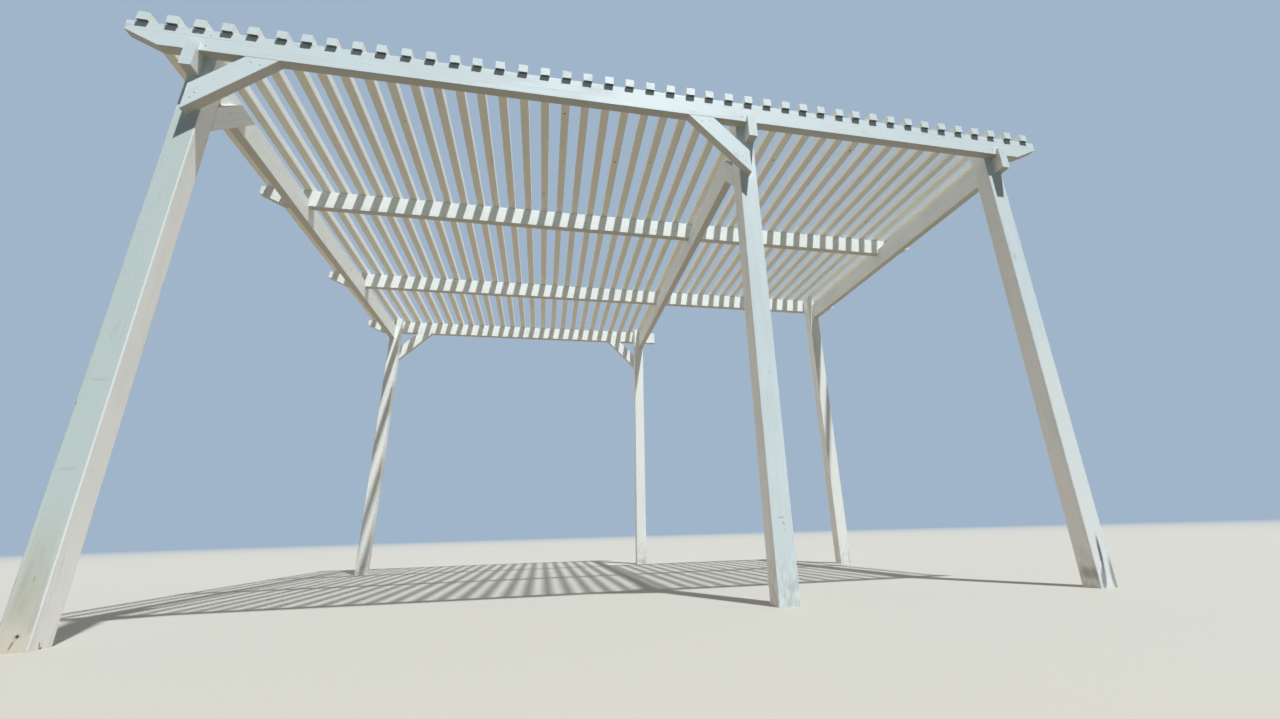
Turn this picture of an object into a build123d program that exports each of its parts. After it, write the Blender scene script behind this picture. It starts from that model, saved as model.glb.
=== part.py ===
from build123d import *
import os

# Timber pergola with a stepped plan, in millimetres.
# X runs along the front, Y runs from front to back, Z is up.
# Set-out positions are measured from the outer front corner of the front left post.

# Posts
post_size = 90
left_bay_spacing = 2443        # front left post to front middle post, left face to left face
right_bay_spacing = 1499       # front middle post to front right post
deep_row = 3290                # front faces of the front posts to those of the two deep back posts
shallow_row = 2205             # front faces of the front posts to that of the back right post
post_arris = 4                 # softened long edges

# Bearers, front to back
bearer_seat_height = 2156
bearer_depth = 130
bearer_reach = 16              # sawn ends, past the outer faces of the outermost beams
timber_thickness = 45          # bearers, cross beams and braces are dressed to one thickness
bearer_arris = 3

# Cross beams, left to right, notched over the bearers
beam_depth = 115
beam_lap = 36                  # how far a cross beam drops over the bearers
beam_left_overhang = 239       # past the outer face of the left posts
beam_right_overhang = 228      # past the outer face of the right posts
back_beam_right_overhang = 148
beam_nose = 49                 # plumb cut at the top of a shaped end
beam_splay = 138               # length of the splay below it
second_beam_position = 1123    # front face, from the front of the front posts
beam_arris = 3

# Braces
brace_depth = 90
front_brace_leg = 304          # from the middle of the post to where the lower edge meets the beam
back_brace_leg = 320
bearer_brace_leg = 344         # from the middle of the post, if it ran up to the beams' undersides
bearer_brace_drop = 30         # but its head is cut level this much lower

# Battens
batten_width = 42
batten_height = 42
batten_pitch = 103.3
wide_batten_pitch = 107.7
wide_pitch_reach = 980         # right end of the beams back to where the wider spacing begins
first_batten_inset = 57        # left end of the beams to the middle of the first batten
batten_reach = 12              # past the outer faces of the outermost beams
batten_arris = 2
long_battens_per_node = 3
short_battens_per_node = 4

# Levels that follow
beam_bottom = bearer_seat_height + bearer_depth - beam_lap
beam_top = beam_bottom + beam_depth
bearer_top = bearer_seat_height + bearer_depth

# Left faces of the three lines of posts, and the face of each bearer in its post head
left_post_x = 0
middle_post_x = left_post_x + left_bay_spacing
right_post_x = middle_post_x + right_bay_spacing
housing_width = timber_thickness
left_bearer_x = left_post_x
middle_bearer_x = middle_post_x + post_size - housing_width
right_bearer_x = right_post_x + post_size - housing_width

# Front faces of the cross beams: the outer ones are planted on the outer faces of the posts
front_beam_y = -timber_thickness
third_beam_y = shallow_row + post_size
back_beam_y = deep_row + post_size
deep_end = back_beam_y + timber_thickness
shallow_end = third_beam_y + timber_thickness

# Ends of the cross beams
beam_left_end = left_post_x - beam_left_overhang
beam_right_end = right_post_x + post_size + beam_right_overhang
back_beam_right_end = middle_post_x + post_size + back_beam_right_overhang

# Middles of the battens, as far as the right end of the beams; the long ones stop over the middle posts
batten_middles = []
batten_middle = beam_left_end + first_batten_inset
while batten_middle + batten_width / 2 < beam_right_end:
    batten_middles.append(batten_middle)
    in_wide_part = batten_middle > beam_right_end - wide_pitch_reach
    batten_middle += wide_batten_pitch if in_wide_part else batten_pitch
batten_count = len(batten_middles)
long_batten_count = len([x for x in batten_middles if x < middle_post_x + post_size])

# The origin lies on the ground, under the middle of the whole outline
outline_front = front_beam_y - max(bearer_reach, batten_reach)
outline_back = deep_end + max(bearer_reach, batten_reach)
origin_x = (beam_left_end + beam_right_end) / 2
origin_y = (outline_front + outline_back) / 2


def save(name, solids):
    """Write one node, moved from the set-out corner to the origin."""
    placed = [Pos(-origin_x, -origin_y, 0) * solid for solid in solids]
    export_step(placed[0] if len(placed) == 1 else Compound(children=placed), f"parts/{name}.step")


def block(x, y, z, width, length, height):
    """A plain block from its lowest corner."""
    return Pos(x, y, z) * Box(width, length, height, align=(Align.MIN, Align.MIN, Align.MIN))


def soften(solid, axis, radius):
    """Round the long edges of a stick of timber."""
    return fillet(solid.edges().filter_by(axis), radius)


def make_post(x, y, bearer_x):
    """A square post whose head is housed on one side for a bearer."""
    post = soften(block(x, y, 0, post_size, post_size, beam_top), Axis.Z, post_arris)
    housing = block(bearer_x, y, bearer_seat_height, housing_width, post_size, beam_top - bearer_seat_height)
    return post - housing


def make_bearer(x, last_beam_end):
    """A bearer on edge, its sawn ends a little proud of the outermost beams."""
    front_end = front_beam_y - bearer_reach
    length = last_beam_end + bearer_reach - front_end
    bearer = block(x, front_end, bearer_seat_height, timber_thickness, length, bearer_depth)
    return soften(bearer, Axis.Y, bearer_arris)


def make_beam(y, right_end, right_end_shaped, bearer_places):
    """A cross beam with shaped ends, notched over the bearers."""
    nose_foot = beam_top - beam_nose
    outline = [(beam_left_end, beam_top), (beam_left_end, nose_foot), (beam_left_end + beam_splay, beam_bottom)]
    if right_end_shaped:
        outline += [(right_end - beam_splay, beam_bottom), (right_end, nose_foot)]
    else:
        outline += [(right_end, beam_bottom)]
    outline += [(right_end, beam_top)]
    face = make_face(Polyline(*outline, close=True))
    beam = extrude(Plane.XZ.offset(-y) * face, -timber_thickness)
    beam = soften(beam, Axis.X, beam_arris)
    for x in bearer_places:
        beam -= block(x, y, beam_bottom, timber_thickness, timber_thickness, beam_lap)
    return beam


def make_side_brace(post_x, direction, beam_y, leg):
    """A brace in the plane of a cross beam, cut plumb on the middle of the post and level under the beam."""
    middle = post_x + post_size / 2
    cut = brace_depth * 2 ** 0.5
    outline = [
        (middle, beam_bottom - leg),
        (middle + direction * leg, beam_bottom),
        (middle + direction * (leg - cut), beam_bottom),
        (middle, beam_bottom - leg + cut),
    ]
    face = make_face(Polyline(*outline, close=True))
    brace = extrude(Plane.XZ.offset(-beam_y) * face, -timber_thickness)
    return brace


def make_bearer_brace(brace_x):
    """A brace planted on the inner face of a bearer, butted plumb against the back of the front post."""
    middle = post_size / 2
    cut = brace_depth * 2 ** 0.5
    foot = beam_bottom - bearer_brace_leg + post_size - middle
    head = beam_bottom - bearer_brace_drop
    reach = middle + bearer_brace_leg - bearer_brace_drop
    outline = [(post_size, foot), (reach, head), (reach - cut, head), (post_size, foot + cut)]
    face = make_face(Polyline(*outline, close=True))
    return extrude(Plane.YZ.offset(brace_x) * face, timber_thickness)


def make_batten(index):
    """One batten, laid across the cross beams."""
    left_face = batten_middles[index] - batten_width / 2
    front_end = front_beam_y - batten_reach
    last_beam_end = deep_end if index < long_batten_count else shallow_end
    length = last_beam_end + batten_reach - front_end
    batten = block(left_face, front_end, beam_top, batten_width, length, batten_height)
    return soften(batten, Axis.Y, batten_arris)


os.makedirs("parts", exist_ok=True)

posts = {
    "post_front_left": (left_post_x, 0, left_bearer_x),
    "post_front_middle": (middle_post_x, 0, middle_bearer_x),
    "post_front_right": (right_post_x, 0, right_bearer_x),
    "post_back_left": (left_post_x, deep_row, left_bearer_x),
    "post_back_middle": (middle_post_x, deep_row, middle_bearer_x),
    "post_back_right": (right_post_x, shallow_row, right_bearer_x),
}
for name, place in posts.items():
    save(name, [make_post(*place)])

bearers = {
    "bearer_left": (left_bearer_x, deep_end),
    "bearer_middle": (middle_bearer_x, deep_end),
    "bearer_right": (right_bearer_x, shallow_end),
}
for name, place in bearers.items():
    save(name, [make_bearer(*place)])

all_bearers = [left_bearer_x, middle_bearer_x, right_bearer_x]
beams = {
    "cross_beam_front": (front_beam_y, beam_right_end, True, all_bearers),
    "cross_beam_second": (second_beam_position, beam_right_end, True, all_bearers),
    "cross_beam_third": (third_beam_y, beam_right_end, True, all_bearers),
    "cross_beam_back": (back_beam_y, back_beam_right_end, False, all_bearers[:2]),
}
for name, place in beams.items():
    save(name, [make_beam(*place)])

side_braces = {
    "brace_front_left": (left_post_x, 1, front_beam_y, front_brace_leg),
    "brace_front_middle": (middle_post_x, -1, front_beam_y, front_brace_leg),
    "brace_back_left": (left_post_x, 1, back_beam_y, back_brace_leg),
    "brace_back_middle": (middle_post_x, -1, back_beam_y, back_brace_leg),
}
for name, place in side_braces.items():
    save(name, [make_side_brace(*place)])

bearer_braces = {
    "brace_bearer_left": left_bearer_x + timber_thickness,
    "brace_bearer_middle": middle_bearer_x - timber_thickness,
}
for name, place in bearer_braces.items():
    save(name, [make_bearer_brace(place)])

first = 0
while first < batten_count:
    is_long = first < long_batten_count
    group_count = long_battens_per_node if is_long else short_battens_per_node
    last = min(first + group_count, long_batten_count if is_long else batten_count)
    save(f"battens_{first + 1:02d}_to_{last:02d}", [make_batten(index) for index in range(first, last)])
    first = last
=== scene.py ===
import math
import random
import bpy
from mathutils import Matrix, Vector


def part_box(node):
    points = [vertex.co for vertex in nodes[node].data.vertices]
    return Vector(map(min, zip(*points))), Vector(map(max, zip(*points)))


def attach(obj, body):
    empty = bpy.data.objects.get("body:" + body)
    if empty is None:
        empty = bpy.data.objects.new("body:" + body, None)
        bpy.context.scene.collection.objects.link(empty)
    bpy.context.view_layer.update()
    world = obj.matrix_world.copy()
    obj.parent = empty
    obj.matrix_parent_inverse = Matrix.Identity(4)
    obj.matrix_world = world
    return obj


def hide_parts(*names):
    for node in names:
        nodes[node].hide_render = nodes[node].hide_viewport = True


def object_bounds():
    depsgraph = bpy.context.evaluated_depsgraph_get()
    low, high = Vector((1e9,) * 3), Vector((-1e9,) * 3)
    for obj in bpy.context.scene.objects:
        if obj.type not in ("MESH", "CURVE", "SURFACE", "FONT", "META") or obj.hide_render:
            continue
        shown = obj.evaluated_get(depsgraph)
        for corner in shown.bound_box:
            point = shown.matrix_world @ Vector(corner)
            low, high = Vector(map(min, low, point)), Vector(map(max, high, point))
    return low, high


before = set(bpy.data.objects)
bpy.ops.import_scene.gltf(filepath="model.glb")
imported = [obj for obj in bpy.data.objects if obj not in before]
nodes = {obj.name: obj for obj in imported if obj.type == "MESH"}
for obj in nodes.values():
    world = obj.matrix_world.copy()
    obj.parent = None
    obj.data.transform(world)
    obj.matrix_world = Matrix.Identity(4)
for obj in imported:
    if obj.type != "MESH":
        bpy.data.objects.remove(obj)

# A white painted timber pergola: its paint, dirt and wear, the laid battens and the nails,
# in plain light. Places are in millimetres from the outer front corner of the front left
# post, as a carpenter sets it out: X along the front, Y to the back, Z up.
mm = 0.001
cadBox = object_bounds()
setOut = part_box("post_front_left")[0]


# a set-out place in the frame's metres
def place(x, y, z):
    return setOut + Vector((x, y, z)) * mm


# a colour code as amounts of light, by the sRGB curve
def linearColour(code):
    shares = [int(code[i:i + 2], 16) / 255 for i in (1, 3, 5)]
    return [s / 12.92 if s <= 0.04045 else ((s + 0.055) / 1.055) ** 2.4 for s in shares] + [1.0]


# adds a node: its settings by name, its inputs by name or number, and gives back one output
def addNode(tree, kind, inputs=None, output=0, **settings):
    node = tree.nodes.new(kind)
    for name, value in settings.items():
        setattr(node, name, value)
    shown = [socket for socket in node.inputs if socket.enabled]
    for key, value in (inputs or {}).items():
        socket = shown[key] if isinstance(key, int) else next(s for s in shown if s.name == key)
        if isinstance(value, bpy.types.NodeSocket):
            tree.links.new(value, socket)
        else:
            socket.default_value = value
    offered = [socket for socket in node.outputs if socket.enabled]
    if not offered:
        return node
    return offered[output] if isinstance(output, int) else next(s for s in offered if s.name == output)


# a material with an empty node tree
def startMaterial(name):
    material = bpy.data.materials.new(name)
    material.use_nodes = True
    material.node_tree.nodes.clear()
    return material, material.node_tree


def addObject(name, data):
    added = bpy.data.objects.new(name, data)
    bpy.context.scene.collection.objects.link(added)
    return added


# Paint. Exterior acrylic brushed on dressed pine and left out for years: a soft low sheen,
# brush marks and raised grain along each timber, a cooler white on the faces that look to the
# front, a dusty cream film with painted shade on the undersides, grey weathering with painted
# shade on top faces, painted shade under the batten ends in front, and bare timber where an
# edge has been knocked.
paint = {
    "fresh": "#f4f6f2",
    "sheen": 0.52,              # roughness of the sound film
    "thinSheen": 0.68,          # and of a thin coat
    "ior": 1.48,
    "relief": 0.5,              # height of the deepest brush mark or crack, in millimetres
    "reliefStrength": 0.8,
    "brushRelief": 0.3,         # as a share of that height
    "grainRelief": 0.5,
    "crackRelief": -1.0,        # a crack lies lower
}

# each pattern: feature size across, across and along the grain in millimetres, where the
# noise starts and ends to show, the colour it brings, how much of it, and on which faces
paintPatterns = {
    # a cooler white on the faces of the front row that look to the front
    "coolerFrontWhite": {"size": (300, 300, 900), "detail": 1, "low": 0.0, "high": 0.25,
                  "colour": "#eef9fa", "share": 1.0, "where": "front"},
    "thinCoat": {"size": (130, 130, 420), "detail": 3, "low": 0.45, "high": 0.7,
                 "colour": "#d8e1e0", "share": 0.3, "where": "all"},
    "raisedGrain": {"size": (9, 9, 480), "detail": 2, "low": 0.5, "high": 0.74,
                    "colour": "#c9d1cf", "share": 0.15, "where": "all"},
    "brushMarks": {"size": (4, 4, 260), "detail": 1, "low": 0.54, "high": 0.7,
                   "colour": "#f3f8f6", "share": 0.35, "where": "all"},
    "grime": {"size": (22, 22, 60), "detail": 4, "low": 0.62, "high": 0.8,
              "colour": "#a5a79b", "share": 0.15, "where": "all"},
    # dust and painted shade: a darker cream film on every underside
    "dustAndUnderShade": {"size": (240, 240, 700), "detail": 2, "low": 0.05, "high": 0.4,
                 "colour": "#c5bca4", "share": 0.85, "where": "under"},
    # grey weathering and painted shade on top faces: darker than the paint, so the steep lamp does not wash
    # them out
    "weatheringAndTopShade": {"size": (60, 60, 300), "detail": 4, "low": 0.1, "high": 0.55,
                   "colour": "#a2a298", "share": 0.95, "where": "top"},
    "splash": {"size": (18, 18, 50), "detail": 4, "low": 0.35, "high": 0.7,
               "colour": "#9a9584", "share": 0.42, "where": "foot"},
    "bareEdge": {"size": (12, 12, 70), "detail": 3, "low": 0.67, "high": 0.71,
                 "colour": "#94886f", "share": 0.55, "where": "arris"},
    # painted shade: dark grey under the batten ends that stand in front of the front beam
    "overhangUnderShade": {"size": (20, 20, 30), "detail": 3, "low": 0.05, "high": 0.4,
                 "colour": "#73746a", "share": 0.9, "where": "overhangUnderside"},
}
battenDustAndUnderShade = "#f1e6cb"   # the dust and painted shade on the battens' undersides is paler
cracks = {"size": (14, 14, 700), "width": 0.006, "detail": 2, "patchSize": (90, 90, 260), "patchDetail": 2,
          "low": 0.56, "high": 0.64,
          "colour": "#7f786a", "share": 0.5}    # drawn about 2 mm wide, twice the real ones, to show
knotBleed = {"size": (110, 110, 300), "reach": 0.1,    # reach is a share of the size
             "colour": "#cdb98c", "share": 0.5}

# how far a face is turned where a pattern starts on it and where it is full: up for under and
# top, back for front, and between two axes for the rounded edges
faceTurns = {"under": (-0.35, -0.8), "top": (0.2, 0.6), "front": (-0.5, -0.9), "arris": (0.08, 0.3)}
frontRow = (8, 4)     # the cooler white ends between these distances behind the front posts' faces
overhangShadeLine = (3, -1)    # painted shade starts under the battens between these distances from the front beam
splashHeight = 260    # how high the rain splashes dirt up the posts

# one family of timbers for each way the grain runs: how its names start, the turn of its
# grain in degrees, and the two face directions that meet at its rounded edges
timberFamilies = {
    "postPaint": {"timbers": ("post",), "turn": (0, 0, 0), "arris": (0, 1)},
    "beamPaint": {"timbers": ("cross_beam",), "turn": (0, 90, 0), "arris": (1, 2)},
    "bearerPaint": {"timbers": ("bearer",), "turn": (-90, 0, 0), "arris": (0, 2)},
    "leftBracePaint": {"timbers": ("brace_front_left", "brace_back_left"), "turn": (0, 45, 0), "arris": None},
    "rightBracePaint": {"timbers": ("brace_front_middle", "brace_back_middle"), "turn": (0, -45, 0),
                        "arris": None},
    "bearerBracePaint": {"timbers": ("brace_bearer",), "turn": (-45, 0, 0), "arris": None},
    "battenPaint": {"timbers": ("battens",), "turn": (-90, 0, 0), "arris": (0, 2)},
}


# a mark seen on a single timber: its middle and half sizes, its colour and strength, how much
# of it is at full strength, and its turn in degrees
def mark(at, half, colour, share, core=0.5, turn=(0, 0, 0)):
    return {"at": at, "half": half, "colour": colour, "share": share, "core": core, "turn": turn}


postMarks = [
    # front left post: painted shade as a darker grey-green film on the front, dust low down, a
    # lighter patch at the foot, a painted highlight down the front right edge, and the right side
    # lighter low down
    # painted shade: a darker grey-green over the front of the front left post
    mark((45, 0, 1150), (70, 8, 1350), "#cfdcd5", 0.65, core=0.7),
    mark((45, 0, 60), (130, 9, 470), "#d3cab2", 0.75, core=0.0),
    mark((48, 0, 30), (85, 8, 85), "#eee7d6", 0.65, core=0.0),
    # painted highlight: a bright line down the front right edge of the front left post
    mark((89, 1, 1150), (4, 7, 1300), "#f7fbfa", 0.9, core=0.7),
    mark((90, 47, 150), (8, 80, 340), "#f9fbf8", 0.85, core=0.3),
    # front right post: sound paint on the front
    mark((3987, 0, 500), (75, 8, 900), "#fdfefb", 0.7, core=0.6),
    # front left post: the knot with its stain, the split and the scuffs
    mark((53, 0, 43), (13, 8, 11), "#a5713f", 0.45, core=0.2),
    mark((53, 0, 43), (5.5, 8, 5), "#4a3526", 0.95, core=0.7),
    mark((45, 0, 20), (3, 8, 20), "#a5713f", 0.8, turn=(0, 16, 0)),
    mark((90, 37, 13), (4, 1.8, 14), "#4c4032", 0.9, turn=(25, 0, 0)),
    mark((90, 44, 3), (4, 7, 5), "#6e6250", 0.8),
    mark((3, 0, 741), (3, 4, 7), "#7d7361", 0.8),
    mark((26, 0, 190), (14, 6, 130), "#a3a394", 0.25, core=0.0, turn=(0, 3, 0)),
    mark((49, 0, 200), (2, 6, 9), "#868b84", 0.6),
    mark((45, 0, 826), (38, 6, 7), "#9aa098", 0.3, core=0.0),
    mark((40, 0, 527), (32, 6, 8), "#9aa098", 0.3, core=0.0),
    # front middle post: scuffs
    mark((2486, 0, 325), (18, 6, 3), "#8d938c", 0.5),
    mark((2495, 0, 303), (5, 6, 9), "#8d938c", 0.5),
    mark((2497, 0, 279), (3, 6, 8), "#8d938c", 0.4),
    # front right post: darker blue-grey patches at the foot, and a line of dirt on the left side
    mark((3986, 0, 142), (12, 6, 100), "#868c90", 0.85, core=0.4, turn=(0, 2, 0)),
    mark((3970, 0, 42), (17, 6, 70), "#7b8186", 0.8, core=0.4, turn=(0, 12, 0)),
    mark((3985, 0, 136), (6, 6, 92), "#5d6163", 0.8, turn=(0, 5, 0)),
    mark((4036, 0, 45), (33, 6, 112), "#8f959c", 0.8),
    mark((3942, 34, 58), (7, 70, 40), "#7b7260", 0.5, core=0.2),
]
markEdge = {"scale": 120, "detail": 2, "depth": 6}   # ragged edges, at most 3 mm each way


# noise stretched along the grain, as a mask from 0 to 1
def grainMask(tree, spot, turn, size, detail, low, high):
    grainSpot = addNode(tree, "ShaderNodeMapping", {
        "Vector": spot, "Rotation": turn, "Scale": [width * mm for width in size]}, vector_type="TEXTURE")
    cloud = addNode(tree, "ShaderNodeTexNoise", {"Vector": grainSpot, "Scale": 1.0, "Detail": detail})
    return addNode(tree, "ShaderNodeMapRange", {
        "Value": cloud, "From Min": low, "From Max": high}, interpolation_type="SMOOTHSTEP")


# an oval of colour round one place, as a mask from 0 to 1
def spotMask(tree, spot, oval):
    spotPlace = addNode(tree, "ShaderNodeMapping", {
        "Vector": spot, "Location": place(*oval["at"]),
        "Rotation": [math.radians(angle) for angle in oval["turn"]],
        "Scale": [half * mm for half in oval["half"]]}, vector_type="TEXTURE")
    reach = addNode(tree, "ShaderNodeVectorMath", {0: spotPlace}, output="Value", operation="LENGTH")
    return addNode(tree, "ShaderNodeMapRange", {
        "Value": reach, "From Min": 1.0, "From Max": oval["core"]}, interpolation_type="SMOOTHSTEP")


# the faces that a pattern can keep to, as masks from 0 to 1
def faceMasks(tree, name, arris, spotAxes, facingAxes):
    masks = {"all": None}
    for title, axis in (("under", "Z"), ("top", "Z"), ("front", "Y")):
        start, full = faceTurns[title]
        masks[title] = addNode(tree, "ShaderNodeMapRange", {
            "Value": facingAxes[axis], "From Min": start, "From Max": full})
    start, full = (setOut.y + distance * mm for distance in frontRow)
    outFront = addNode(tree, "ShaderNodeMapRange", {
        "Value": spotAxes["Y"], "From Min": start, "From Max": full})
    masks["front"] = addNode(tree, "ShaderNodeMath", {0: masks["front"], 1: outFront}, operation="MULTIPLY")
    masks["foot"] = addNode(tree, "ShaderNodeMapRange", {
        "Value": spotAxes["Z"], "From Min": splashHeight * mm, "From Max": 0.0},
        interpolation_type="SMOOTHSTEP")
    if name == "battenPaint":   # the undersides of the batten ends in front of the front beam, where shade is painted
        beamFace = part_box("cross_beam_front")[0].y
        start, full = (beamFace + distance * mm for distance in overhangShadeLine)
        overhang = addNode(tree, "ShaderNodeMapRange", {
            "Value": spotAxes["Y"], "From Min": start, "From Max": full})
        masks["overhangUnderside"] = addNode(tree, "ShaderNodeMath", {
            0: overhang, 1: masks["under"]}, operation="MULTIPLY")
    if arris:
        both = addNode(tree, "ShaderNodeMath", {
            0: facingAxes[arris[0]], 1: facingAxes[arris[1]]}, operation="MULTIPLY")
        edge = addNode(tree, "ShaderNodeMath", {0: both}, operation="ABSOLUTE")
        start, full = faceTurns["arris"]
        masks["arris"] = addNode(tree, "ShaderNodeMapRange", {
            "Value": edge, "From Min": start, "From Max": full})
    return masks


# the painted finish of one family of timbers
def paintTimber(name, family, marks):
    material, tree = startMaterial(name)
    spot = addNode(tree, "ShaderNodeTexCoord", output="Object")
    facing = addNode(tree, "ShaderNodeTexCoord", output="Normal")
    spotAxes = addNode(tree, "ShaderNodeSeparateXYZ", {"Vector": spot}).node.outputs
    facingAxes = addNode(tree, "ShaderNodeSeparateXYZ", {"Vector": facing}).node.outputs
    faces = faceMasks(tree, name, family["arris"], spotAxes, facingAxes)
    turn = [math.radians(angle) for angle in family["turn"]]
    timberSpot = spot
    if name == "battenPaint":   # each batten is cut from another length
        number = addNode(tree, "ShaderNodeAttribute", output="Fac", attribute_name="battenNumber")
        otherLength = addNode(tree, "ShaderNodeCombineXYZ", {"Y": number, "Z": number})
        timberSpot = addNode(tree, "ShaderNodeVectorMath", {0: spot, 1: otherLength}, operation="ADD")

    layers = []   # a share and a colour each, in the order they lie on the timber
    masks = {}
    for title, pattern in paintPatterns.items():
        if pattern["where"] not in faces:
            continue
        masks[title] = grainMask(tree, timberSpot, turn, pattern["size"], pattern["detail"],
                                 pattern["low"], pattern["high"])
        share = addNode(tree, "ShaderNodeMath", {0: masks[title], 1: pattern["share"]}, operation="MULTIPLY")
        where = faces[pattern["where"]]
        if where:
            share = addNode(tree, "ShaderNodeMath", {0: share, 1: where}, operation="MULTIPLY")
        # the battens take a paler dust and painted shade on their undersides
        tint = battenDustAndUnderShade if title == "dustAndUnderShade" and name == "battenPaint" else pattern["colour"]
        layers.append((share, tint))

    # tannin bleeding through over the knots
    knotSpot = addNode(tree, "ShaderNodeMapping", {
        "Vector": timberSpot, "Rotation": turn, "Scale": [width * mm for width in knotBleed["size"]]},
        vector_type="TEXTURE")
    knots = addNode(tree, "ShaderNodeTexVoronoi", {"Vector": knotSpot, "Scale": 1.0}, output="Distance")
    bleed = addNode(tree, "ShaderNodeMapRange", {
        "Value": knots, "From Min": knotBleed["reach"], "From Max": 0.0, "To Max": knotBleed["share"]})
    layers.append((bleed, knotBleed["colour"]))

    # fine checks in the film along the grain, where the noise passes its middle value
    checkSpot = addNode(tree, "ShaderNodeMapping", {
        "Vector": timberSpot, "Rotation": turn, "Scale": [width * mm for width in cracks["size"]]},
        vector_type="TEXTURE")
    checkCloud = addNode(tree, "ShaderNodeTexNoise", {
        "Vector": checkSpot, "Scale": 1.0, "Detail": cracks["detail"]})
    fromMiddle = addNode(tree, "ShaderNodeMath", {0: checkCloud, 1: 0.5}, operation="SUBTRACT")
    aside = addNode(tree, "ShaderNodeMath", {0: fromMiddle}, operation="ABSOLUTE")
    line = addNode(tree, "ShaderNodeMapRange", {"Value": aside, "From Min": cracks["width"], "From Max": 0.0})
    patch = grainMask(tree, timberSpot, turn, cracks["patchSize"], cracks["patchDetail"],
                      cracks["low"], cracks["high"])
    crack = addNode(tree, "ShaderNodeMath", {0: line, 1: patch}, operation="MULTIPLY")
    crackShare = addNode(tree, "ShaderNodeMath", {0: crack, 1: cracks["share"]}, operation="MULTIPLY")
    layers.append((crackShare, cracks["colour"]))

    if marks:
        ragged = addNode(tree, "ShaderNodeTexNoise", {
            "Vector": spot, "Scale": markEdge["scale"], "Detail": markEdge["detail"]}, output="Color")
        centred = addNode(tree, "ShaderNodeVectorMath", {0: ragged, 1: (0.5, 0.5, 0.5)}, operation="SUBTRACT")
        markSpot = addNode(tree, "ShaderNodeVectorMath", {
            0: centred, 1: (markEdge["depth"] * mm,) * 3, 2: spot}, operation="MULTIPLY_ADD")
    for oval in marks:
        share = addNode(tree, "ShaderNodeMath", {
            0: spotMask(tree, markSpot, oval), 1: oval["share"]}, operation="MULTIPLY")
        layers.append((share, oval["colour"]))

    colour = linearColour(paint["fresh"])
    for share, tint in layers:
        colour = addNode(tree, "ShaderNodeMix", {
            "Factor": share, "A": colour, "B": linearColour(tint)}, data_type="RGBA")
    brushHeight = addNode(tree, "ShaderNodeMath", {
        0: masks["brushMarks"], 1: paint["brushRelief"]}, operation="MULTIPLY")
    grainHeight = addNode(tree, "ShaderNodeMath", {
        0: masks["raisedGrain"], 1: paint["grainRelief"], 2: brushHeight}, operation="MULTIPLY_ADD")
    relief = addNode(tree, "ShaderNodeMath", {
        0: crack, 1: paint["crackRelief"], 2: grainHeight}, operation="MULTIPLY_ADD")
    bump = addNode(tree, "ShaderNodeBump", {
        "Height": relief, "Distance": paint["relief"] * mm, "Strength": paint["reliefStrength"]})
    rough = addNode(tree, "ShaderNodeMapRange", {
        "Value": masks["thinCoat"], "To Min": paint["sheen"], "To Max": paint["thinSheen"]})
    shader = addNode(tree, "ShaderNodeBsdfPrincipled", {
        "Base Color": colour, "Roughness": rough, "IOR": paint["ior"], "Normal": bump})
    addNode(tree, "ShaderNodeOutputMaterial", {"Surface": shader})
    return material


# the runs of battens as the framing holds them: each node's name gives its first and last batten
battenWidth = 42
battenRuns = {}
battenMiddles = []   # left to right, in set-out millimetres
for name in sorted(name for name in nodes if name.startswith("battens_")):
    low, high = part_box(name)
    first, last = (int(part) for part in name.split("_") if part.isdigit())
    pitch = ((high.x - low.x) / mm - battenWidth) / (last - first)
    battenRuns[name] = {"first": first, "count": last - first + 1, "pitch": pitch}
    leftMiddle = (low.x - setOut.x) / mm + battenWidth / 2
    battenMiddles += [leftMiddle + pitch * step for step in range(last - first + 1)]
battenLow, battenHigh = ((corner - setOut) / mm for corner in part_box("battens_01_to_03"))

# knots and nail points on the undersides of the battens: batten from the left, counted from 0,
# distance back and size
battenKnots = [(16, 919, 13), (20, 530, 13), (17, 185, 12), (17, 833, 7), (22, 499, 10), (20, 415, 8),
               (9, 387, 8), (33, 196, 13), (38, 894, 13), (29, 353, 12), (3, 3172, 13)]
battenMarks = [
    mark((battenMiddles[number], back, battenLow.z), (size / 2, size / 2, 5), "#3f2f24", 0.95, core=0.75)
    for number, back, size in battenKnots]
battenMarks.append(mark((333, battenLow.y, battenLow.z + 2), (6, 7, 6), "#8c8f7c", 0.8))   # a chipped end

# every framing timber keeps its own solid and takes the paint that follows its grain
familyMarks = {"postPaint": postMarks, "battenPaint": battenMarks}
materials = {family: paintTimber(family, settings, familyMarks.get(family, []))
             for family, settings in timberFamilies.items()}
print("paint mixed:", len(materials), "families of timber")
for name, timber in nodes.items():
    finish = next(materials[family] for family, settings in timberFamilies.items()
                  if name.startswith(settings["timbers"]))
    for slot in timber.material_slots:
        slot.material = finish
print("framing timbers painted:", len(nodes))


# a node tree with named inputs and one geometry output
def startTree(name, sockets):
    tree = bpy.data.node_groups.new(name, "GeometryNodeTree")
    for title, kind in sockets.items():
        tree.interface.new_socket(title, in_out="INPUT", socket_type="NodeSocket" + kind)
    tree.interface.new_socket("Geometry", in_out="OUTPUT", socket_type="NodeSocketGeometry")
    return tree, tree.nodes.new("NodeGroupInput").outputs


# runs a tree on a mesh and keeps the result as a plain mesh
def growPiece(name, tree, values, mesh):
    piece = addObject(name, mesh)
    modifier = piece.modifiers.new(name, "NODES")
    modifier.node_group = tree
    for item in tree.interface.items_tree:
        if item.in_out == "INPUT" and item.name in values:
            modifier[item.identifier] = values[item.name]
    bpy.context.view_layer.update()
    grown = piece.evaluated_get(bpy.context.evaluated_depsgraph_get())
    finished = bpy.data.meshes.new_from_object(grown)
    piece.modifiers.clear()
    piece.data = finished
    finished.name = name
    return piece


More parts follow.
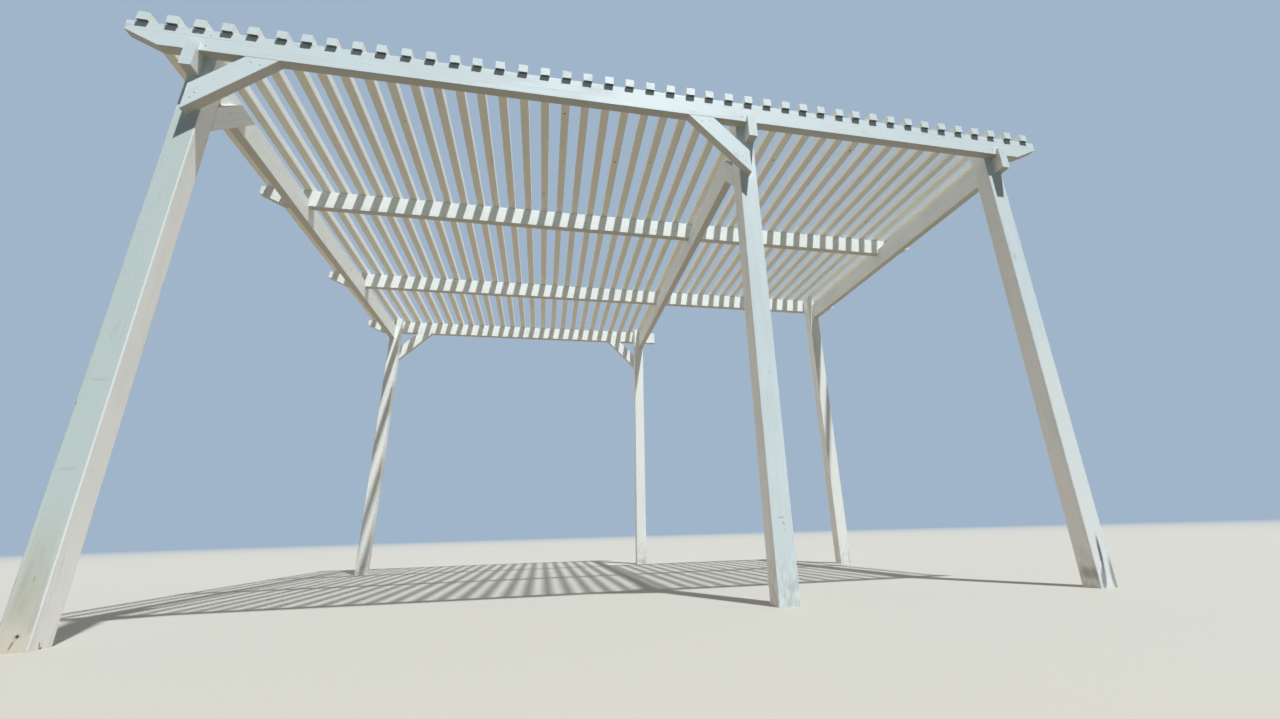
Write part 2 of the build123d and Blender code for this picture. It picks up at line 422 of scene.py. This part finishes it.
# Battens: pine laid flat by eye on the cross beams, so no two lie quite alike.
batten = {
    "arris": 2,
    "arrisSteps": 2,
    "sideShift": 2.5,          # off the even spacing, each way
    "bow": 2.5,                # side bow over its length, each way
    "bowScale": 1.7,           # bends in a length
    "endUnevenness": 2,        # cut short of the line
    "rings": 20,
    "seed": 7,
}

battenTree, given = startTree("battenRun", {
    "Count": "Int", "First Number": "Int", "Start": "Vector", "Pitch": "Float", "Length": "Float",
    "Width": "Float", "Thickness": "Float", "Arris": "Float", "Arris Steps": "Int", "Rings": "Int",
    "Side Shift": "Float", "Bow": "Float", "Bow Scale": "Float", "End Unevenness": "Float", "Seed": "Int",
    "Paint": "Material"})

# a row of numbered places, and the same stick with eased edges on each
step = addNode(battenTree, "ShaderNodeCombineXYZ", {"X": given["Pitch"]})
row = addNode(battenTree, "GeometryNodeMeshLine", {
    "Count": given["Count"], "Start Location": given["Start"], "Offset": step}, mode="OFFSET")
index = addNode(battenTree, "GeometryNodeInputIndex")
number = addNode(battenTree, "ShaderNodeMath", {0: index, 1: given["First Number"]}, operation="ADD")
numbered = addNode(battenTree, "GeometryNodeStoreNamedAttribute", {
    "Geometry": row, "Name": "battenNumber", "Value": number}, data_type="FLOAT", domain="POINT")
farEnd = addNode(battenTree, "ShaderNodeCombineXYZ", {"Y": given["Length"]})
run = addNode(battenTree, "GeometryNodeCurvePrimitiveLine", {"End": farEnd}, mode="POINTS")
ringed = addNode(battenTree, "GeometryNodeResampleCurve", {
    "Curve": run, "Count": given["Rings"]}, mode="COUNT")
section = addNode(battenTree, "GeometryNodeCurvePrimitiveQuadrilateral", {
    "Width": given["Width"], "Height": given["Thickness"]}, mode="RECTANGLE")
eased = addNode(battenTree, "GeometryNodeFilletCurve", {
    "Curve": section, "Count": given["Arris Steps"], "Radius": given["Arris"]}, mode="POLY")
stick = addNode(battenTree, "GeometryNodeCurveToMesh", {
    "Curve": ringed, "Profile Curve": eased, "Fill Caps": True})
laid = addNode(battenTree, "GeometryNodeInstanceOnPoints", {"Points": numbered, "Instance": stick})
solid = addNode(battenTree, "GeometryNodeRealizeInstances", {"Geometry": laid})

# each batten's own chance shares: to one side, and short at the front and the back
ownNumber = addNode(battenTree, "GeometryNodeInputNamedAttribute", {
    "Name": "battenNumber"}, data_type="FLOAT")
chance = {}
for title, lowest, seedStep in (("side", -1.0, 100), ("front", 0.0, 200), ("back", 0.0, 300)):
    ownSeed = addNode(battenTree, "ShaderNodeMath", {0: given["Seed"], 1: seedStep}, operation="ADD")
    chance[title] = addNode(battenTree, "FunctionNodeRandomValue", {
        "Min": lowest, "Max": 1.0, "ID": ownNumber, "Seed": ownSeed}, data_type="FLOAT")

# how far along the batten each ring lies, and its side bow there, from the middle half of a noise
here = addNode(battenTree, "GeometryNodeInputPosition")
along = addNode(battenTree, "ShaderNodeSeparateXYZ", {"Vector": here}, output="Y")
startY = addNode(battenTree, "ShaderNodeSeparateXYZ", {"Vector": given["Start"]}, output="Y")
fromFront = addNode(battenTree, "ShaderNodeMath", {0: along, 1: startY}, operation="SUBTRACT")
shareAlong = addNode(battenTree, "ShaderNodeMath", {0: fromFront, 1: given["Length"]}, operation="DIVIDE")
bowSpot = addNode(battenTree, "ShaderNodeCombineXYZ", {"X": ownNumber, "Y": shareAlong})
bowCloud = addNode(battenTree, "ShaderNodeTexNoise", {
    "Vector": bowSpot, "Scale": given["Bow Scale"], "Detail": 0.0})
bowWay = addNode(battenTree, "ShaderNodeMapRange", {
    "Value": bowCloud, "From Min": 0.25, "From Max": 0.75, "To Min": -1.0, "To Max": 1.0})
bowed = addNode(battenTree, "ShaderNodeMath", {0: bowWay, 1: given["Bow"]}, operation="MULTIPLY")
sideways = addNode(battenTree, "ShaderNodeMath", {
    0: chance["side"], 1: given["Side Shift"], 2: bowed}, operation="MULTIPLY_ADD")

# the ends, drawn in by the share of the length that lies between
shareLeft = addNode(battenTree, "ShaderNodeMath", {0: 1.0, 1: shareAlong}, operation="SUBTRACT")
frontIn = addNode(battenTree, "ShaderNodeMath", {0: chance["front"], 1: shareLeft}, operation="MULTIPLY")
backIn = addNode(battenTree, "ShaderNodeMath", {0: chance["back"], 1: shareAlong}, operation="MULTIPLY")
ends = addNode(battenTree, "ShaderNodeMath", {0: frontIn, 1: backIn}, operation="SUBTRACT")
endShift = addNode(battenTree, "ShaderNodeMath", {0: ends, 1: given["End Unevenness"]}, operation="MULTIPLY")
unevenness = addNode(battenTree, "ShaderNodeCombineXYZ", {"X": sideways, "Y": endShift})
settled = addNode(battenTree, "GeometryNodeSetPosition", {"Geometry": solid, "Offset": unevenness})
flat = addNode(battenTree, "GeometryNodeSetShadeSmooth", {"Geometry": settled, "Shade Smooth": False})
painted = addNode(battenTree, "GeometryNodeSetMaterial", {"Geometry": flat, "Material": given["Paint"]})
addNode(battenTree, "NodeGroupOutput", {0: painted})

for name, laidRun in battenRuns.items():
    low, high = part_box(name)
    title = name.replace("battens", "laid_battens")
    piece = growPiece(title, battenTree, {
        "Count": laidRun["count"], "First Number": laidRun["first"] - 1,
        "Start": Vector((low.x + battenWidth / 2 * mm, low.y, (low.z + high.z) / 2)),
        "Pitch": laidRun["pitch"] * mm, "Length": high.y - low.y, "Width": battenWidth * mm,
        "Thickness": high.z - low.z, "Arris": batten["arris"] * mm, "Arris Steps": batten["arrisSteps"],
        "Rings": batten["rings"], "Side Shift": batten["sideShift"] * mm, "Bow": batten["bow"] * mm,
        "Bow Scale": batten["bowScale"], "End Unevenness": batten["endUnevenness"] * mm,
        "Seed": batten["seed"], "Paint": materials["battenPaint"]}, bpy.data.meshes.new(title))
    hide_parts(name)
    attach(piece, "root")
print("battens laid:", len(battenMiddles), "in", len(battenRuns), "runs")

# Nails: flat heads driven through each batten into each beam, and through the beams,
# bearers and braces into the posts. Galvanised steel under thin paint, so a head shows as a
# small pale disc with here and there a trace of rust.
nail = {
    "frameRadius": 4.5, "frameHeight": 1.1,
    "battenRadius": 3.6, "battenHeight": 0.5,
    "sides": 10, "rim": 0.78,                      # width of the flat top, as a share
    "battenScatter": 6, "braceScatter": 3,         # driven by hand, so off the mark each way
    "paint": "#e6f1f1", "rust": "#b3a386", "rustShare": 0.4, "rustFrom": (0.6, 0.75),
    "rustScale": 9, "rustDetail": 3, "roughness": 0.45,
    "seed": 11,
}
# where they are driven, as shares of a timber's length and height
braceNails = [(0.08, 0.2), (0.12, 0.3), (0.78, 0.9), (0.66, 0.93)]
bearerBraceNails = [(0.12, 0.3), (0.66, 0.9), (0.8, 0.93)]
bearerNails = [(0.3, 0.3), (0.7, 0.62)]
beamNails = [(0, 0.3), (0.06, 0.78)]   # across the post from its side clear of the notch, and up the beam
farBeamNail = 0.8                      # how high the third one sits, on the post's other side
notchClear = {"left": 0.74, "middle": 0.26, "right": 0.26}
postBeams = {
    "post_front_left": "cross_beam_front", "post_front_middle": "cross_beam_front",
    "post_front_right": "cross_beam_front", "post_back_left": "cross_beam_back",
    "post_back_middle": "cross_beam_back", "post_back_right": "cross_beam_third",
}

nailTree, given = startTree("nailHeads", {
    "Points": "Geometry", "Radius": "Float", "Rim": "Float", "Height": "Float", "Sides": "Int",
    "Paint": "Material"})
flatTop = addNode(nailTree, "ShaderNodeMath", {0: given["Radius"], 1: given["Rim"]}, operation="MULTIPLY")
head = addNode(nailTree, "GeometryNodeMeshCone", {
    "Vertices": given["Sides"], "Radius Top": flatTop, "Radius Bottom": given["Radius"],
    "Depth": given["Height"]})
faceWay = addNode(nailTree, "GeometryNodeInputNamedAttribute", {"Name": "facing"}, data_type="FLOAT_VECTOR")
turned = addNode(nailTree, "FunctionNodeAlignRotationToVector", {"Vector": faceWay}, axis="Z")
driven = addNode(nailTree, "GeometryNodeInstanceOnPoints", {
    "Points": given["Points"], "Instance": head, "Rotation": turned})
realNails = addNode(nailTree, "GeometryNodeRealizeInstances", {"Geometry": driven})
nailPaint = addNode(nailTree, "GeometryNodeSetMaterial", {"Geometry": realNails, "Material": given["Paint"]})
addNode(nailTree, "NodeGroupOutput", {0: nailPaint})


# a place in a timber's box, as a share of the box along each axis
def inBox(name, shares):
    low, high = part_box(name)
    return Vector([start + (end - start) * share for start, end, share in zip(low, high, shares)])


# nails in one side face of a timber
def nailsOn(name, axis, side, shares, spots):
    for along, up in shares:
        boxShares = [along, up]
        boxShares.insert(axis, 1 if side > 0 else 0)
        spot = inBox(name, boxShares)
        for free in range(3):
            if free != axis:
                spot[free] += random.uniform(-nail["braceScatter"], nail["braceScatter"]) * mm
        way = Vector((0, 0, 0))
        way[axis] = side
        spots.append((spot, way))


# bare points, each with the way its nail faces
def pointMesh(name, spots):
    mesh = bpy.data.meshes.new(name)
    mesh.from_pydata([spot for spot, way in spots], [], [])
    facing = mesh.attributes.new("facing", "FLOAT_VECTOR", "POINT")
    for i, (spot, way) in enumerate(spots):
        facing.data[i].vector = way
    return mesh


random.seed(nail["seed"])
battenSpots = []
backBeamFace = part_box("cross_beam_back")[0].y
longCount = sum(laidRun["count"] for name, laidRun in battenRuns.items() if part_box(name)[1].y > backBeamFace)
for name in (name for name in nodes if name.startswith("cross_beam")):
    beamMiddle = inBox(name, (0, 0.5, 0)).y
    crossed = battenMiddles[:longCount] if name == "cross_beam_back" else battenMiddles
    for middle in crossed:
        spot = place(middle + random.uniform(-nail["battenScatter"], nail["battenScatter"]), 0, battenHigh.z)
        spot.y = beamMiddle + random.uniform(-nail["battenScatter"], nail["battenScatter"]) * mm
        battenSpots.append((spot, Vector((0, 0, 1))))

frameSpots = []
for name, side in (("brace_front_left", -1), ("brace_front_middle", -1), ("brace_back_left", 1),
                   ("brace_back_middle", 1)):
    rising = "left" in name
    shares = braceNails if rising else [(1 - along, up) for along, up in braceNails]
    nailsOn(name, 1, side, shares, frameSpots)
nailsOn("brace_bearer_left", 0, 1, bearerBraceNails, frameSpots)
nailsOn("brace_bearer_middle", 0, -1, bearerBraceNails, frameSpots)
for post, beam in postBeams.items():
    line = post.split("_")[2]
    side = -1 if beam == "cross_beam_front" else 1
    clear = notchClear[line]
    beamPlaces = [(clear + across, up) for across, up in beamNails] + [(1 - clear, farBeamNail)]
    for across, up in beamPlaces:
        spot = inBox(beam, (0, 1 if side > 0 else 0, up))
        spot.x = inBox(post, (across, 0, 0)).x
        frameSpots.append((spot, Vector((0, side, 0))))
    outer = -1 if line == "left" else 1
    for across, up in bearerNails:
        spot = inBox("bearer_" + line, (1 if outer > 0 else 0, 0, up))
        spot.y = inBox(post, (0, across, 0)).y
        frameSpots.append((spot, Vector((outer, 0, 0))))

nailMaterial, nailShades = startMaterial("paintedGalvanisedSteel")
nailSpot = addNode(nailShades, "ShaderNodeTexCoord", output="Object")
rustCloud = addNode(nailShades, "ShaderNodeTexNoise", {
    "Vector": nailSpot, "Scale": nail["rustScale"], "Detail": nail["rustDetail"]})
rustShare = addNode(nailShades, "ShaderNodeMapRange", {
    "Value": rustCloud, "From Min": nail["rustFrom"][0], "From Max": nail["rustFrom"][1],
    "To Max": nail["rustShare"]}, interpolation_type="SMOOTHSTEP")
nailColour = addNode(nailShades, "ShaderNodeMix", {
    "Factor": rustShare, "A": linearColour(nail["paint"]), "B": linearColour(nail["rust"])}, data_type="RGBA")
nailShader = addNode(nailShades, "ShaderNodeBsdfPrincipled", {
    "Base Color": nailColour, "Roughness": nail["roughness"]})
addNode(nailShades, "ShaderNodeOutputMaterial", {"Surface": nailShader})

for name, spots, size, slot in (("batten_nails", battenSpots, "batten", "batten_timber"),
                                ("frame_nails", frameSpots, "frame", "beam_timber")):
    piece = growPiece(name, nailTree, {
        "Radius": nail[size + "Radius"] * mm, "Rim": nail["rim"], "Height": nail[size + "Height"] * mm,
        "Sides": nail["sides"], "Paint": nailMaterial}, pointMesh(name + "_places", spots))
    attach(piece, "root")
print("nails driven:", len(battenSpots) + len(frameSpots))

# Floor: a board in matt paint, plain and pale to the camera, that fades into the backdrop's
# colour far from the pergola. What it throws up as light is less than it shows to the camera,
# warm under the pergola and dim in front of it. All lengths here are in metres.
surround = {
    "board": "#a29e95", "bounce": "#8a8279", "frontBounce": "#434a4b", "roughness": 0.8,
    "frontEdge": (0.3, -0.5),    # the bounce turns dim between these distances behind the pergola's front
    "air": "#a0b5ca",
    "radius": 60, "rimPoints": 96, "fadeStart": 9, "fadeEnd": 55,
}

floorMesh = bpy.data.meshes.new("floor")
rimTurns = [math.tau * i / surround["rimPoints"] for i in range(surround["rimPoints"])]
rim = [(surround["radius"] * math.cos(turn), surround["radius"] * math.sin(turn), 0) for turn in rimTurns]
floorMesh.from_pydata(rim, [], [list(range(len(rim)))])
floor = addObject("floor", floorMesh)
board, boardTree = startMaterial("mattPaintedBoard")
floorSpot = addNode(boardTree, "ShaderNodeTexCoord", output="Object")
distance = addNode(boardTree, "ShaderNodeVectorMath", {0: floorSpot}, output="Value", operation="LENGTH")
fade = addNode(boardTree, "ShaderNodeMapRange", {
    "Value": distance, "From Min": surround["fadeStart"], "From Max": surround["fadeEnd"]},
    interpolation_type="SMOOTHSTEP")
seen = addNode(boardTree, "ShaderNodeLightPath", output="Is Camera Ray")
floorBack = addNode(boardTree, "ShaderNodeSeparateXYZ", {"Vector": floorSpot}, output="Y")
frontStart, frontFull = (cadBox[0].y + offset for offset in surround["frontEdge"])
inFront = addNode(boardTree, "ShaderNodeMapRange", {
    "Value": floorBack, "From Min": frontStart, "From Max": frontFull})
bounced = addNode(boardTree, "ShaderNodeMix", {
    "Factor": inFront, "A": linearColour(surround["bounce"]), "B": linearColour(surround["frontBounce"])},
    data_type="RGBA")
boardColour = addNode(boardTree, "ShaderNodeMix", {
    "Factor": seen, "A": bounced, "B": linearColour(surround["board"])}, data_type="RGBA")
boardShader = addNode(boardTree, "ShaderNodeBsdfPrincipled", {
    "Base Color": boardColour, "Roughness": surround["roughness"]})
air = addNode(boardTree, "ShaderNodeEmission", {"Color": linearColour(surround["air"]), "Strength": seen})
fadedBoard = addNode(boardTree, "ShaderNodeMixShader", {"Fac": fade, 1: boardShader, 2: air})
addNode(boardTree, "ShaderNodeOutputMaterial", {"Surface": fadedBoard})
floorMesh.materials.append(board)

# Light: one steep sun-like lamp in front on the right, in the direction of the photo's shadows,
# and a fill from the world: plain from above and from behind, warm from the sides, none from
# the front. The lamp's softness is its width in degrees, and the pairs say where along a
# ray's direction each part starts and is full.
light = {
    "way": (-0.165, 0.388, -1), "strength": 5.3, "softness": 1.5, "tint": "#f7fdff",
    "fill": 1.12, "frontFill": 0.0, "fillBack": (-0.65, -0.05),
    "plainTint": "#ced1d7", "plainUp": (0.1, 0.6), "plainBack": (0.3, 0.7),
    "sideTint": "#ffdeb3",
}

lampData = bpy.data.lights.new("softKey", "SUN")
lampData.energy = light["strength"]
lampData.angle = math.radians(light["softness"])
lampData.color = linearColour(light["tint"])[:3]
lamp = addObject("softKey", lampData)
lamp.rotation_mode = "QUATERNION"
lamp.rotation_quaternion = (-Vector(light["way"])).to_track_quat("Z", "Y")

world = bpy.data.worlds.new("plainAir")
bpy.context.scene.world = world
world.use_nodes = True
worldTree = world.node_tree
worldTree.nodes.clear()
look = addNode(worldTree, "ShaderNodeTexCoord", output="Generated")
lookAxes = addNode(worldTree, "ShaderNodeSeparateXYZ", {"Vector": look}).node.outputs
fillStrength = addNode(worldTree, "ShaderNodeMapRange", {
    "Value": lookAxes["Y"], "From Min": light["fillBack"][0], "From Max": light["fillBack"][1],
    "To Min": light["frontFill"], "To Max": light["fill"]}, interpolation_type="SMOOTHSTEP")
highUp = addNode(worldTree, "ShaderNodeMapRange", {
    "Value": lookAxes["Z"], "From Min": light["plainUp"][0], "From Max": light["plainUp"][1]})
fromBehind = addNode(worldTree, "ShaderNodeMapRange", {
    "Value": lookAxes["Y"], "From Min": light["plainBack"][0], "From Max": light["plainBack"][1]})
plainPart = addNode(worldTree, "ShaderNodeMath", {0: highUp, 1: fromBehind}, operation="MAXIMUM")
fillTint = addNode(worldTree, "ShaderNodeMix", {
    "Factor": plainPart, "A": linearColour(light["sideTint"]), "B": linearColour(light["plainTint"])},
    data_type="RGBA")
lighting = addNode(worldTree, "ShaderNodeBackground", {"Color": fillTint, "Strength": fillStrength})
backdrop = addNode(worldTree, "ShaderNodeBackground", {
    "Color": linearColour(surround["air"]), "Strength": 1.0})
rays = [addNode(worldTree, "ShaderNodeLightPath", output=ray)
        for ray in ("Is Camera Ray", "Is Glossy Ray", "Is Transmission Ray")]
either = addNode(worldTree, "ShaderNodeMath", {0: rays[0], 1: rays[1]}, operation="MAXIMUM")
anyRay = addNode(worldTree, "ShaderNodeMath", {0: either, 1: rays[2]}, operation="MAXIMUM")
airOrLight = addNode(worldTree, "ShaderNodeMixShader", {"Fac": anyRay, 1: lighting, 2: backdrop})
addNode(worldTree, "ShaderNodeOutputWorld", {"Surface": airOrLight})
bpy.context.scene.view_settings.view_transform = "Standard"

# Camera: held low in front, looking up and a little to the right. The place is
# in set-out millimetres and the angles are in degrees.
view = {"place": (1548.3, -2125.3, 283.9), "yaw": 12.191, "pitch": 19.4, "roll": -1.627,
        "sensor": 36, "lens": 15.1525, "shift": (-0.01519, -0.01374)}

yaw, pitchUp, roll = (math.radians(view[key]) for key in ("yaw", "pitch", "roll"))
ahead = Vector((math.sin(yaw) * math.cos(pitchUp), math.cos(yaw) * math.cos(pitchUp), math.sin(pitchUp)))
level = Vector((math.cos(yaw), -math.sin(yaw), 0))
upright = level.cross(ahead)
right = math.cos(roll) * level + math.sin(roll) * upright
above = math.cos(roll) * upright - math.sin(roll) * level
cameraData = bpy.data.cameras.new("camera")
cameraData.sensor_width = view["sensor"]
cameraData.lens = view["lens"]
cameraData.shift_x, cameraData.shift_y = view["shift"]
camera = addObject("camera", cameraData)
axes = Matrix((right, above, -ahead)).transposed().to_4x4()
camera.matrix_world = Matrix.Translation(place(*view["place"])) @ axes
bpy.context.scene.camera = camera
print("floor, light and camera ready")
